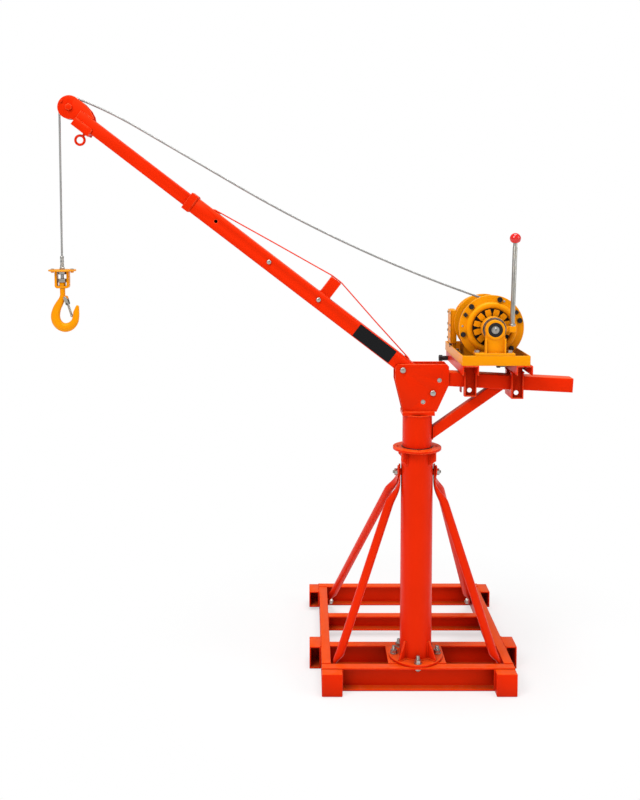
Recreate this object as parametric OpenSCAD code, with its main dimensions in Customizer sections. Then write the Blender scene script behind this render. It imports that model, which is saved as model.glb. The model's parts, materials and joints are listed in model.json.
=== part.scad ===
// Portable mini crane for building sites. Millimetres, Z up, mast axis on the ground = origin.

/* [Base] */
// Half width of the base over the rails
base_half_w = 305; // [290:1:330]
// Height of the main base channels
channel_h = 75; // [70:1:80]
// Y of the rear channel's front face
rear_y = 567; // [530:1:610]
// Length of the outrigger sleeves along Y
sleeve_len = 76; // [60:1:90]

/* [Mast] */
// Outside diameter of the mast pipe
mast_od = 101.6; // [100:0.1:104]
// Top face of the mast flange
mast_top = 763; // [740:1:790]
// Radius of the foot studs
stud_r = 70; // [68:0.5:72]
// Radius of the top flange
top_flange_r = 77; // [74:1:82]

/* [Boom] */
// Boom angle above the horizontal as drawn
boom_angle = 37.5; // [37:0.5:38]
// Length of the outer boom ahead of the pivot
outer_len = 850; // [830:1:880]
// Distance from pivot to the inner boom's front end
inner_end = 1287; // [1282:1:1292]
// Height of the truss post's tip above the boom pivot line
post_h = 100; // [90:1:115]

/* [Winch] */
// Radius of the drum cover
cover_r = 102; // [98:1:103]
// Rope pitch radius on the drum
drum_rope_r = 77; // [70:1:80]
// Rope diameter
rope_d = 6; // [5:0.5:7]
// Height of the clutch knob centre
knob_z = 1426; // [1400:1:1450]

/* [Hook] */
// Diameter of the round plate over the yoke
plate_d = 86; // [80:1:92]
// Outer radius of the hook bowl
hook_r = 44; // [42:0.5:46]

/* [Hidden] */
$fn = 64;
orange_red = [0.85, 0.11, 0.03];
amber = [1.0, 0.6, 0.02];
zinc = [0.72, 0.7, 0.66];
dark = [0.12, 0.12, 0.12];
red = [0.85, 0.05, 0.04];
rope_grey = [0.42, 0.41, 0.4];

web = 5;
flange_t = 6;
flange_d = 32;
plate_t = 8;
flange_top = channel_h + plate_t;
mast_bore = mast_od / 2 - 3.3;
px = -50;
pz = 1012;
winch_x = 226;
winch_z = 1147;
boom_perp = 12;
sheave_s = 1323;
sheave_perp = 18.4;
lock_r = 119.5;
beam_tilt = 3;
beam_x = 91;
beam_top = 1005;
tray_z = 1038;
beam_h = 45;
sheave_r = 34;
rope_angle = 20.8;
// ---------- helpers ----------
// C channel along X, open to -Y, from x0 to x1, back face at y1
module channel_x(x0, x1, y0, y1, z0, z1) {
    translate([x0, y0, z0]) cube([x1 - x0, y1 - y0, flange_t]);
    translate([x0, y0, z1 - flange_t]) cube([x1 - x0, y1 - y0, flange_t]);
    translate([x0, y1 - web, z0 + flange_t]) cube([x1 - x0, web, z1 - z0 - 2 * flange_t]);
}
// closed or open rectangular tube along Y
module tube_y(w, h, l, t) {
    difference() {
        cube([w, l, h]);
        translate([t, -1, t]) cube([w - 2 * t, l + 2, h - 2 * t]);
    }
}
// move into the boom frame: x forward along the boom, z square to it, y across
module boom_frame() {
    translate([px, 0, pz]) rotate([0, boom_angle, 0]) mirror([1, 0, 0]) children();
}
// cylinder along +Y from y0 to y1
module cyl_y(r, y0, y1) {
    translate([0, y0, 0]) rotate([-90, 0, 0]) cylinder(r = r, h = y1 - y0);
}
// hexagon prism along +Y, across flats af
module hex_y(af, y0, y1) {
    translate([0, y0, 0]) rotate([-90, 0, 0]) cylinder(r = af / sqrt(3), h = y1 - y0, $fn = 6);
}
module hex_z(af, z0, z1) {
    translate([0, 0, z0]) cylinder(r = af / sqrt(3), h = z1 - z0, $fn = 6);
}
module ring_z(r, bore, z0, z1) {
    translate([0, 0, z0]) difference() {
        cylinder(r = r, h = z1 - z0);
        translate([0, 0, -1]) cylinder(r = bore, h = z1 - z0 + 2);
    }
}
// ---------- base ----------
module front_channel() {
    color(orange_red) difference() {
        channel_x(-base_half_w, base_half_w, -87, -55, 0, channel_h);
        translate([0, -stud_r, channel_h - 10]) cylinder(r = 6.5, h = 20);
    }
}
module second_channel() {
    color(orange_red) difference() {
        channel_x(-base_half_w + 30, base_half_w - 30, 68, 100, 0, channel_h);
        translate([0, stud_r, channel_h - 10]) cylinder(r = 6.5, h = 20);
    }
}
module middle_channel() {
    color(orange_red) channel_x(-base_half_w + 30, base_half_w - 30, 297, 328, 22, channel_h);
}
module rear_channel() {
    color(orange_red) channel_x(-base_half_w, base_half_w, rear_y, rear_y + 32, 0, channel_h);
}
module rail(s) {
    x0 = base_half_w - 30;
    for (z = [0, channel_h - flange_t]) {
        translate([s > 0 ? x0 : -base_half_w, -55, z]) cube([30, rear_y + 55, flange_t]);
    }
    translate([s > 0 ? x0 : -x0 - web, -55, flange_t])
        cube([web, rear_y + 55, channel_h - 2 * flange_t]);
}
module side_rails() {
    color(orange_red) {
        rail(-1);
        rail(1);
    }
}
module seat_plate() {
    color(orange_red) difference() {
        translate([-92, -55, channel_h - plate_t]) cube([184, 123, plate_t]);
        for (a = [0, 45, 90, 135, 180]) {
            translate([stud_r * cos(a), stud_r * sin(a), channel_h - 20]) cylinder(r = 6.5, h = 30);
        }
        translate([0, 0, channel_h - 20]) cylinder(r = 30, h = 30);
    }
}
module bottom_plate() { color(orange_red) translate([-92, -55, 0]) cube([184, 123, plate_t]); }
module front_feet() {
    color(orange_red) for (s = [-1, 1]) {
        translate([s > 0 ? base_half_w - 65 : -base_half_w, -124, 0]) cube([65, 37, 73]);
    }
}
module side_sleeves() {
    color(orange_red) for (x = [-base_half_w - 38, base_half_w]) {
        translate([x, 61, 0]) tube_y(38, channel_h, sleeve_len, web);
        translate([x + 1, 61 + sleeve_len - web, 1]) cube([36, web, channel_h - 2]);
        translate([x, rear_y - 43, 12]) tube_y(38, 60, sleeve_len, web);
        translate([x + 1, rear_y - 43 + sleeve_len - web, 13]) cube([36, web, 58]);
    }
}
module mast_foot_flange() {
    color(orange_red) difference() {
        translate([0, 0, channel_h]) cylinder(r = 86, h = plate_t);
        translate([0, 0, channel_h - 1]) cylinder(r = mast_bore, h = plate_t + 2);
        for (a = [0, 45, 90, 135, 180, 270]) {
            translate([stud_r * cos(a), stud_r * sin(a), channel_h - 1])
                cylinder(r = 6.5, h = plate_t + 2);
        }
    }
}
module gusset(a, pts) {
    rotate([0, 0, a]) translate([0, 3, 0]) rotate([90, 0, 0]) linear_extrude(height = 6) polygon(pts);
}
module mast_gussets() {
    r0 = mast_od / 2 + 0.2;
    z1 = mast_top - 8;
    color(orange_red) {
        for (a = [67.5, 112.5, 225, 315]) {
            gusset(a, [[r0, flange_top], [82, flange_top], [82, flange_top + 7],
                [r0 + 6, flange_top + 57], [r0, flange_top + 57]]);
        }
        for (a = [45:90:315]) gusset(a, [[r0, z1], [75, z1], [75, z1 - 28], [r0, z1 - 45]]);
    }
}
module foot_studs() {
    color(zinc) for (a = [0, 45, 90, 135, 180, 270]) {
        low = a == 270 ? channel_h - flange_t : channel_h - plate_t;
        translate([stud_r * cos(a), stud_r * sin(a), 0]) {
            translate([0, 0, low - 12]) cylinder(r = 6, h = 108 - low + 12);
            ring_z(12, 5.9, flange_top, flange_top + 2.5);
            hex_z(19, flange_top + 2.5, flange_top + 12.5);
            hex_z(16, low - 8, low);
        }
    }
}
module mast_pipe() {
    color(orange_red) difference() {
        translate([0, 0, flange_top]) cylinder(d = mast_od, h = mast_top - 8 - flange_top);
        translate([0, 0, flange_top - 1]) cylinder(r = mast_bore, h = 540 - flange_top + 1);
        translate([0, 0, 539]) cylinder(r = 43, h = 30);
        translate([0, 0, 560]) cylinder(r = mast_bore, h = 300);
    }
}
module mast_top_flange() {
    color(orange_red) difference() {
        translate([0, 0, mast_top - 8]) cylinder(r = top_flange_r, h = 8);
        translate([0, 0, mast_top - 9]) cylinder(r = 47.05, h = 10);
        for (a = [0:90:270]) {
            translate([61 * cos(a), 61 * sin(a), mast_top - 9]) cylinder(r = 5, h = 10);
        }
    }
}
// round bar between two points
module rod(p, q, r) {
    d = q - p;
    translate(p) rotate([0, acos(d[2] / norm(d)), atan2(d[1], d[0])]) cylinder(r = r, h = norm(d));
}
// flattened brace end: plate in the YZ plane, hole at the origin, tail turned a degrees from -Z to +Y
module brace_tab(a, len, over) {
    rotate([a, 0, 0]) difference() {
        union() {
            translate([0, 0, over]) rotate([0, 90, 0]) cylinder(r = 14, h = 5);
            translate([0, -14, -len]) cube([5, 28, len + over]);
        }
        translate([-1, 0, 0]) rotate([0, 90, 0]) cylinder(r = 6, h = 7);
    }
}
// brace on the +X side: upper eye at x0, z 680, lower eye at (x1, y1, z1)
module brace(x0, x1, y1, z1) {
    a = atan2(y1, 680 - z1);
    p = [x0 + 2.5, 0, 680];
    q = [x1 + 2.5, y1, z1];
    e = (q - p) / norm(q - p);
    translate([x0, 0, 680]) brace_tab(a, 52, 12);
    translate([x1, y1, z1]) brace_tab(a + 180, 40, 0);
    difference() {
        rod(p + 46 * e, q - 34 * e, 13.75);
        rod(p + 62 * e, q - 50 * e, 11);
    }
}
module front_braces() { color(orange_red) for (s = [0, 1]) mirror([s, 0, 0]) brace(53, 264, -34, 32); }
module rear_braces() { color(orange_red) for (s = [0, 1]) mirror([s, 0, 0]) brace(58, 264, 546, 26); }
module bolt_x(x0, x1, y, z) {
    translate([x0, y, z]) rotate([0, 90, 0]) cylinder(r = 5.5, h = x1 - x0);
}
module nut_x(x0, x1, y, z) {
    translate([x0, y, z]) rotate([0, 90, 0]) cylinder(r = 19 / sqrt(3), h = x1 - x0, $fn = 6);
}
module brace_bolts() {
    color(zinc) for (s = [0, 1]) mirror([s, 0, 0]) {
        translate([51, 0, 680]) rotate([0, 90, 0]) cylinder(r = 11, h = 2);
        bolt_x(52, 77, 0, 680);
        nut_x(63, 72, 0, 680);
        for (e = [[-34, 32], [546, 26]]) {
            bolt_x(252, 275, e[0], e[1]);
            nut_x(255, 264, e[0], e[1]);
            translate([269, e[0], e[1]]) rotate([0, 90, 0]) cylinder(r = 10, h = 6);
        }
    }
}
// ---------- upper body ----------
module slew_pipe() {
    color(orange_red) ring_z(47, 43, 560, 868);
}
module cap_plate() { color(orange_red) translate([-51, -38, 868]) cube([102, 76, 12]); }
module head_plate(y0) {
    difference() {
        translate([0, y0 + 6, 0]) rotate([90, 0, 0]) linear_extrude(height = 6)
            polygon([[-74, 980], [-74, 1022], [-66, 1031], [88, 1031], [95, 1023], [95, 964],
                [57, 880], [-49, 880]]);
        translate([px, 0, pz]) cyl_y(7, y0 - 1, y0 + 7);
        for (a = [15.5, 37.5, 57.5]) {
            translate([px + lock_r * cos(a), 0, pz - lock_r * sin(a)]) cyl_y(7, y0 - 1, y0 + 7);
        }
    }
}
module head_plates() { color(orange_red) for (y = [-31.5, 25.5]) head_plate(y); }
module pivot_bolt() {
    color(zinc) translate([px, 0, pz]) {
        cyl_y(6.95, -38, 44);
        cyl_y(9, -38, -31.5);
        hex_y(19, 31.5, 41.5);
    }
}
module lock_bolt() {
    color(zinc) translate([px + lock_r * cos(37.5), 0, pz - lock_r * sin(37.5)]) {
        cyl_y(6.5, -38, -25.6);
        cyl_y(9, -38, -31.5);
        cyl_y(6.5, 25.6, 44);
        hex_y(19, 31.5, 41.5);
    }
}
module counter_beam() {
    color(orange_red) translate([beam_x, 0, beam_top]) rotate([0, beam_tilt, 0]) difference() {
        translate([0, -25.5, -beam_h]) cube([398, 51, beam_h]);
        translate([-1, -22.5, 3 - beam_h]) cube([400, 45, beam_h - 6]);
    }
}
function under(x) = beam_top - beam_h * cos(beam_tilt)
    - (x - beam_x + beam_h * sin(beam_tilt)) * tan(beam_tilt);
module knee_strut() {
    k = tan(35.5);
    m = k + tan(beam_tilt);
    xa = 47.2 + (under(47.2) - 789) / m;
    xb = 47.2 + (under(47.2) - 829) / m;
    xc = 47.2 + (under(47.2) - 792.7) / m;
    xd = 47.2 + (under(47.2) - 825.3) / m;
    color(orange_red) difference() {
        translate([0, 16, 0]) rotate([90, 0, 0]) linear_extrude(height = 32)
            polygon([[47.2, 789], [xa, under(xa)], [xb, under(xb)], [47.2, 829]]);
        translate([0, 13, 0]) rotate([90, 0, 0]) linear_extrude(height = 26)
            polygon([[40, 792.7 - 7.2 * k], [xc + 10, under(xc) + 10 * k], [xd + 10, under(xd) + 10 * k],
                [40, 825.3 - 7.2 * k]]);
    }
}
module carrier_channels() {
    color(orange_red) for (x = [125, 290]) {
        translate([x, -110, tray_z - 4]) cube([50, 345, 4]);
        translate([x, -110, tray_z - 30]) cube([4, 345, 26]);
        translate([x + 46, -110, tray_z - 30]) cube([4, 345, 26]);
    }
}
module winch_bolts() {
    color(zinc) for (x = [172, 271]) translate([x, -88, 0]) hex_z(16, tray_z + 38, tray_z + 46);
}
module carrier_bolts() {
    color(dark) for (p = [[125, 200, 30], [290, 60, 28]]) {
        translate([p[0] - p[2], p[1], tray_z - 22]) rotate([0, 90, 0])
            cylinder(r = 19 / sqrt(3), h = 12, $fn = 6);
        translate([p[0] - p[2] + 12, p[1], tray_z - 22]) rotate([0, 90, 0])
            cylinder(r = 8, h = p[2] - 12);
    }
}
// hanging leg with its outer web on the +Y side, x0..x1 wide, upper part ua..ub wide
module hanger(x0, x1, ua, ub, z0, hz, rear) {
    hx = (x0 + x1) / 2;
    difference() {
        union() {
            translate([x0, 25.5, z0]) cube([x1 - x0, 5, tray_z - 30 - z0]);
            translate([ua, 25.5, tray_z - 30]) cube([ub - ua, 5, 26]);
            translate([x0, 30.5, z0]) cube([4, 18, tray_z - 30 - z0]);
            translate([x1 - 4, 30.5, z0]) cube([4, 18, tray_z - 30 - z0]);
            if (!rear) translate([x0, 25.5, z0]) cube([x1 - x0, 23, 4]);
        }
        if (rear) translate([x0 + 4, 20, z0 - 1]) cube([x1 - x0, 40, hz - z0 + 5]);
        else translate([hx, 0, hz]) cyl_y(7.5, 20, 40);
    }
}
module carrier_hangers() {
    color(orange_red) {
        for (s = [0, 1]) mirror([0, s, 0]) {
            hanger(141, 179, 141, 171, 931, 948.5, s == 0);
            hanger(288, 326, 294, 326, 924, 940.5, s == 0);
        }
        translate([288, -26, 924]) cube([4, 52, under(292) - 0.3 - 924]);
    }
}
module winch_tray() {
    color(amber) difference() {
        translate([123, -110, tray_z]) cube([209, 353, 31]);
        translate([127, -106, tray_z + 3]) cube([201, 345, 40]);
    }
}
module motor_body() {
    color(amber) {
        translate([winch_x, 0, winch_z]) {
            cyl_y(85, 110, 204);
            cyl_y(62, 204, 215);
        }
        translate([winch_x - 60, 118, tray_z + 3]) cube([120, 82, 46]);
    }
}
module terminal_box() {
    color(amber) {
        translate([123, 112, 1077]) cube([17.7, 58, 111]);
        translate([128, 118, tray_z + 3]) cube([12, 46, 1077 - tray_z - 3]);
    }
}
module box_cover() { color(amber) translate([120, 112, 1078]) cube([3, 58, 109]); }
module bearing_pedestal() {
    rim = tray_z + 31;
    color(amber) difference() {
        union() {
            translate([163, -110, rim]) cube([122, 44, 7]);
            for (x = [163, 273]) translate([x, -106, tray_z + 3]) cube([12, 36, 28]);
            translate([0, -85, 0]) rotate([90, 0, 0]) linear_extrude(height = 10)
                polygon([[194, rim + 7], [258, rim + 7], [255, winch_z], [197, winch_z]]);
            for (x = [194, 253]) translate([x, -105, rim + 7]) cube([5, 10, 44]);
            translate([winch_x, 0, winch_z]) cyl_y(30, -99, -85);
        }
        translate([winch_x, 0, winch_z]) cyl_y(12.2, -120, -60);
        translate([winch_x, 0, winch_z]) cyl_y(22.5, -100, -95);
    }
}
module winch_shaft() {
    color(zinc) translate([winch_x, 0, winch_z]) cyl_y(12, -103, 110);
}
module drum() {
    color(amber) translate([winch_x, 0, winch_z]) difference() {
        union() {
            cyl_y(drum_rope_r - 3.2, -27, 98);
            cyl_y(95.5, 98, 105);
        }
        cyl_y(12.05, -30, 110);
    }
}
module drum_cover() {
    color(amber) translate([winch_x, 0, winch_z]) difference() {
        union() {
            cyl_y(cover_r, -33, -27);
            cyl_y(80, -45, -33);
        }
        cyl_y(12.05, -50, -20);
        for (i = [0:11]) {
            rotate([0, -90 - i * 30, 0]) {
                translate([27, -46, -2]) cube([25, 5, 4]);
                translate([50, -46, -6]) cube([8, 5, 12]);
            }
        }
    }
}
module cover_bolts() {
    color(dark) translate([winch_x, 0, winch_z]) {
        for (a = [14, 74, 134, 194, 254, 314]) rotate([0, -a, 0]) translate([91, 0, 0]) {
            hex_y(13, -39, -33);
        }
        for (a = [32, 154, 275]) rotate([0, -a, 0]) translate([91, 0, 0]) {
            translate([-5, -39, -5]) cube([10, 6, 10]);
        }
    }
}
module rope_winding() {
    color(rope_grey) translate([winch_x, 0, winch_z]) difference() {
        cyl_y(drum_rope_r + rope_d / 2, -20, 92);
        cyl_y(drum_rope_r - 3, -21, 93);
    }
}
module clutch_arm() {
    color(amber) translate([winch_x, 0, winch_z]) difference() {
        union() {
            cyl_y(38, -80, -52);
            translate([30, -78, -8]) cube([16, 16, 16]);
            translate([46, -80, -10]) cube([21, 20, 20]);
        }
        cyl_y(12.05, -90, -40);
    }
}
module clutch_rod() {
    color(zinc) translate([282.5, -70, winch_z + 10]) rotate([0, 1.3, 0])
        cylinder(r = 7.25, h = knob_z - 13 - winch_z - 10);
}
module clutch_knob() {
    color(red) translate([288.4, -70, knob_z]) difference() {
        sphere(r = 17);
        translate([-20, -20, -40]) cube([40, 40, 27]);
    }
}
// ---------- boom ----------
module outer_boom() {
    color(orange_red) boom_frame() difference() {
        translate([-130, -25, boom_perp - 25]) cube([outer_len + 130, 50, 50]);
        translate([-131, -22, boom_perp - 22]) cube([outer_len + 132, 44, 44]);
        cyl_y(7, -30, 30);
        translate([-lock_r, 0, 0]) cyl_y(7, -30, 30);
        translate([748, 0, 14]) cyl_y(5.5, -30, 30);
        translate([540, 0, 14]) cyl_y(5.2, -30, 30);
        translate([345, 0, 14]) cyl_y(5.2, -30, 30);
    }
}
module boom_collar() {
    color(orange_red) boom_frame() difference() {
        translate([outer_len - 15, -29, boom_perp - 29]) cube([25, 58, 58]);
        translate([outer_len - 16, -25, boom_perp - 25]) cube([16, 50, 50]);
        translate([outer_len - 1, -20.5, boom_perp - 20.5]) cube([30, 41, 41]);
    }
}
module truss_post() {
    color(orange_red) boom_frame() difference() {
        translate([319, -18, boom_perp + 25]) cube([37, 36, post_h - 40]);
        translate([322, -15, boom_perp + 24]) cube([31, 30, post_h - 43]);
    }
}
module truss_rod() {
    t = post_h - 3;
    color(orange_red) boom_frame() translate([0, 2.5, 0]) rotate([90, 0, 0]) linear_extrude(height = 5)
        polygon([[-6, 37], [0, 37], [318, t], [357, t], [772, 37], [780, 37], [357, t + 5],
            [318, t + 5]]);
}
module boom_bolts() {
    color(zinc) boom_frame() for (s = [540, 345]) translate([s, 0, 14]) {
        cyl_y(5, -32, 34);
        cyl_y(7.2, -31, -25);
        hex_y(15, 25, 32);
    }
}
// rope run from the head sheave to the drum: bent over the sheave, straight, then sagging
module rope_run() {
    bend_r = 1326;
    straight = 362.98;
    a2 = 30.2;
    a3 = 18.26;
    p0 = [sheave_x + sheave_r * sin(rope_angle), sheave_z + sheave_r * cos(rope_angle)];
    c1 = [-bend_r * sin(rope_angle), -bend_r * cos(rope_angle)];
    p1 = c1 + bend_r * [sin(a2), cos(a2)];
    p2 = p1 + straight * [cos(a2), -sin(a2)];
    sag_r = (winch_x + drum_rope_r * sin(a3) - p0[0] - p2[0]) / (sin(a2) - sin(a3));
    c2 = p2 + sag_r * [sin(a2), cos(a2)];
    color(rope_grey) difference() {
        translate([p0[0], 0, p0[1]]) rotate([0, 0, atan(12 / 1326)]) rotate([90, 0, 0]) {
            translate(c1) rotate([0, 0, 90 - a2]) rotate_extrude(angle = a2 - rope_angle, $fn = 720)
                translate([bend_r, 0]) circle(d = rope_d, $fn = 24);
            translate(p1) rotate([0, 0, -a2]) rotate([0, 90, 0])
                cylinder(d = rope_d, h = straight, $fn = 24);
            translate(c2) rotate([0, 0, 270 - a2]) rotate_extrude(angle = a2 - a3, $fn = 720)
                translate([sag_r, 0]) circle(d = rope_d, $fn = 24);
        }
        translate([winch_x, 0, winch_z]) cyl_y(drum_rope_r + rope_d / 2 + 0.4, -30, 70);
    }
}
// ---------- inner boom ----------
module inner_boom() {
    color(orange_red) boom_frame() difference() {
        translate([609.1, -20, boom_perp - 20]) cube([inner_end - 609.1, 40, 40]);
        translate([608, -17, boom_perp - 17]) cube([inner_end - 600, 34, 34]);
        translate([1232, -17, boom_perp]) cube([60, 34, 30]);
        translate([748, 0, 14]) cyl_y(5.5, -30, 30);
    }
}
module cheek_plates() {
    color(orange_red) boom_frame() for (y = [-17, 12]) difference() {
        translate([0, y + 5, 0]) rotate([90, 0, 0]) linear_extrude(height = 5) union() {
            translate([sheave_s, sheave_perp]) circle(r = 36.5);
            polygon([[1205, -5], [1205, 29], [1232, 29], [1246, 41], [1264, 49.5], [1290, 54.5],
                [1323, 54.9], [1330, -17], [1287, -5]]);
        }
        translate([sheave_s, 0, sheave_perp]) cyl_y(6.1, -30, 30);
    }
}
module tip_shoe() {
    color(orange_red) boom_frame() {
        translate([1223, -23, -20]) cube([64, 46, 12]);
        translate([1223, 20, -8]) cube([64, 3, 13]);
        translate([1223, -23, -8]) cube([64, 3, 13]);
    }
}
module tip_bolts() {
    color(orange_red) boom_frame() {
        translate([sheave_s, 0, sheave_perp]) {
            cyl_y(6, -17, 29);
            hex_y(19, -25, -17);
            hex_y(19, 17, 27);
        }
        for (y = [-21, 17]) translate([sheave_s + 30.5, 0, sheave_perp]) cyl_y(4.5, y, y + 4);
    }
}
module eye_ring() {
    color(orange_red) boom_frame() translate([1239, 0, -44]) {
        rotate([90, 0, 0]) rotate_extrude() translate([14.2, 0]) circle(r = 4, $fn = 32);
        translate([0, 0, 13]) cylinder(r = 4, h = 11);
    }
}
module sheave_at() {
    boom_frame() translate([sheave_s, 0, sheave_perp]) children();
}
module sheave() {
    color(zinc) sheave_at() rotate([90, 0, 0]) rotate_extrude()
        polygon([[6.05, -7], [35.8, -7], [35.8, -5.5], [33, -3.4], [30.7, -3.4], [30.7, 3.4],
            [33, 3.4], [35.8, 5.5], [35.8, 7], [6.05, 7]]);
}
// ---------- hook line ----------
sheave_x = px - sheave_s * cos(boom_angle) + sheave_perp * sin(boom_angle);
sheave_z = pz + sheave_s * sin(boom_angle) + sheave_perp * cos(boom_angle);
drop_x = sheave_x - sheave_r;
module rope_drop() {
    color(rope_grey) {
        translate([sheave_x, 0, sheave_z]) rotate([90, 0, 0])
            rotate([0, 0, 90.15 - rope_angle]) rotate_extrude(angle = 89.85 + rope_angle)
                translate([sheave_r, 0]) circle(d = rope_d, $fn = 32);
        translate([drop_x, 0, 1369]) cylinder(d = rope_d, h = sheave_z - 1369);
    }
}
module ferrule() {
    color(zinc) translate([drop_x, 0, 1327]) {
        cylinder(r = 8, h = 7);
        cylinder(r = 6, h = 42);
    }
}
module yoke() {
    color(amber) translate([drop_x, 0, 0]) {
        translate([0, 0, 1322]) cylinder(d = plate_d, h = 5);
        translate([0, 0, 1312]) cylinder(r = 12.5, h = 10);
        for (x = [-31, 31]) translate([x, 0, 1317]) cylinder(r = 5, h = 5);
        difference() {
            translate([0, 10, 0]) rotate([90, 0, 0]) linear_extrude(height = 20) difference() {
                union() {
                    translate([-22.5, 1277]) square([45, 45]);
                    translate([-13.5, 1268]) square([27, 10]);
                    for (x = [-13.5, 13.5]) translate([x, 1277]) circle(r = 9);
                }
                translate([-14.9, 1276]) square([29.8, 47]);
            }
            translate([0, 0, 1267]) cylinder(r = 8.3, h = 10);
        }
    }
}
module hook() {
    color(amber) translate([drop_x, 0, 0]) {
        translate([0, 0, 1242]) cylinder(r = 8.25, h = 34);
        translate([0, 0, 1276]) cylinder(r = 10, h = 11);
        translate([0, 0, 1287]) cylinder(r = 14, h = 11);
        translate([0, 0, 1298]) cylinder(r = 5, h = 13);
        translate([0, 8, 0]) rotate([90, 0, 0]) linear_extrude(height = 16) {
            difference() {
                translate([7.6, 1174.5]) circle(r = hook_r);
                translate([10, 1176.5]) circle(r = 19);
                polygon([[-9, 1176.5], [-9, 1225], [45, 1225], [36, 1205], [29, 1176.5]]);
            }
            polygon([[-8.25, 1244], [-14, 1226], [-26, 1208], [-34, 1190], [-10, 1172], [-8, 1188],
                [-3, 1206], [2, 1226], [8.25, 1244]]);
            polygon([[30, 1180], [35, 1200], [39, 1210], [42, 1214], [47, 1215], [50.5, 1211],
                [52.3, 1192], [51.6, 1174]]);
            translate([9.9, 1237.8]) circle(r = 6.5);
        }
        translate([9.9, 0, 1237.8]) cyl_y(3, -12, 12);
    }
}
module latch() {
    color(zinc) translate([drop_x + 9.9, 0, 1237.8]) rotate([0, -17.3, 0]) difference() {
        union() {
            for (y = [-11, 8.5]) {
                cyl_y(5, y, y + 2.5);
                translate([-4, y, -22]) cube([8, 2.5, 22]);
            }
            translate([-1.5, -11, -58]) cube([3, 22, 42]);
        }
        cyl_y(3.05, -20, 20);
    }
}
front_channel();
second_channel();
middle_channel();
rear_channel();
side_rails();
seat_plate();
bottom_plate();
front_feet();
side_sleeves();
mast_foot_flange();
mast_gussets();
foot_studs();
mast_pipe();
mast_top_flange();
front_braces();
rear_braces();
brace_bolts();
slew_pipe();
cap_plate();
head_plates();
pivot_bolt();
lock_bolt();
counter_beam();
knee_strut();
carrier_channels();
winch_bolts();
carrier_bolts();
carrier_hangers();
winch_tray();
motor_body();
terminal_box();
box_cover();
bearing_pedestal();
winch_shaft();
drum();
drum_cover();
cover_bolts();
rope_winding();
clutch_arm();
clutch_rod();
clutch_knob();
outer_boom();
boom_collar();
truss_post();
truss_rod();
boom_bolts();
rope_run();
inner_boom();
cheek_plates();
tip_shoe();
tip_bolts();
eye_ring();
sheave();
rope_drop();
ferrule();
yoke();
hook();
latch();
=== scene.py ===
import json
import math
import bmesh
import bpy
from mathutils import Matrix, Vector


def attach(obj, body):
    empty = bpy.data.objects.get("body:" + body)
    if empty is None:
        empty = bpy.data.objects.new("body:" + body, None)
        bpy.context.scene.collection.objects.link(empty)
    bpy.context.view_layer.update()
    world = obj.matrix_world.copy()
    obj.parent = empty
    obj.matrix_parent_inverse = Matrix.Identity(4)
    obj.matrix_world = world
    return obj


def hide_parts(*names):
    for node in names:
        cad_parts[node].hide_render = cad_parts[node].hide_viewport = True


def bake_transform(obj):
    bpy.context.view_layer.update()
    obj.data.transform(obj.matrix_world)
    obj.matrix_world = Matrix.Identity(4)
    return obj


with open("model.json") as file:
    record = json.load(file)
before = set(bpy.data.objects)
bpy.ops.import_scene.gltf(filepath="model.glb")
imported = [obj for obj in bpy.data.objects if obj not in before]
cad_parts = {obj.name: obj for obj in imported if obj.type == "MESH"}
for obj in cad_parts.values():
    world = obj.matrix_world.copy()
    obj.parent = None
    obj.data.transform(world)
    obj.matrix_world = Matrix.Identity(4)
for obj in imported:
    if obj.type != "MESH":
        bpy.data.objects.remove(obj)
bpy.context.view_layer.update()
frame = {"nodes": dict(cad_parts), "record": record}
nodes = frame["nodes"]
bodyOf = {n: b for b, ns in frame["record"]["behaviour"]["bodies"].items() for n in ns}
slotOf = {s["node"]: s["material_slot"] for s in frame["record"]["subparts"]}
print("stage: frame loaded,", len(nodes), "nodes")

# shared places, millimetres and degrees unless a name says otherwise
mm = 0.001
toMetres = Matrix.Diagonal((mm, mm, mm, 1))
fromMetres = Matrix.Diagonal((1 / mm, 1 / mm, 1 / mm, 1))
front, back, above, below, leftward = (0, -1, 0), (0, 1, 0), (0, 0, 1), (0, 0, -1), (-1, 0, 0)
boomLift = 37.5
boomAngle = math.radians(boomLift)
pivot = Vector((-50, 0, 1012))
along = Vector((-math.cos(boomAngle), 0, math.sin(boomAngle)))
square = Vector((math.sin(boomAngle), 0, math.cos(boomAngle)))
winchAt = Vector((226, 0, 1147))


def onBoom(s, perp, y=0.0):
    return pivot + along * s + square * perp + Vector((0, y, 0))


sheaveAt = onBoom(1323, 18.4)
ropeRadius = 34  # rope centre line on the sheave
dropX = sheaveAt.x - ropeRadius


def polar(r, deg):
    return r * math.cos(math.radians(deg)), r * math.sin(math.radians(deg))


def arcPoints(centre, r, start, stop, step, ry=None):
    # stop itself is left out
    return [(centre[0] + r * polar(1, a)[0], centre[1] + (ry or r) * polar(1, a)[1]) for a in range(start, stop, step)]


def basis(origin, zAxis, xAxis=None):
    # right-handed matrix from millimetres to metres with local Z on zAxis
    z = Vector(zAxis).normalized()
    x = Vector((1, 0, 0) if abs(z.x) < 0.9 else (0, 1, 0)) if xAxis is None else Vector(xAxis)
    x = (x - z * x.dot(z)).normalized()
    m = Matrix((x, z.cross(x), z)).transposed().to_4x4()
    m.translation = Vector(origin) * mm
    return m @ toMetres


def facing(centre, y=0.0):
    # local Z towards the viewer's side, local X to the right
    return basis((centre[0], y, centre[2]), front, (1, 0, 0))


upright = basis((0, 0, 0), above)
hub = facing(winchAt)
dropLine = basis((dropX, 0, 0), above)


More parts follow.
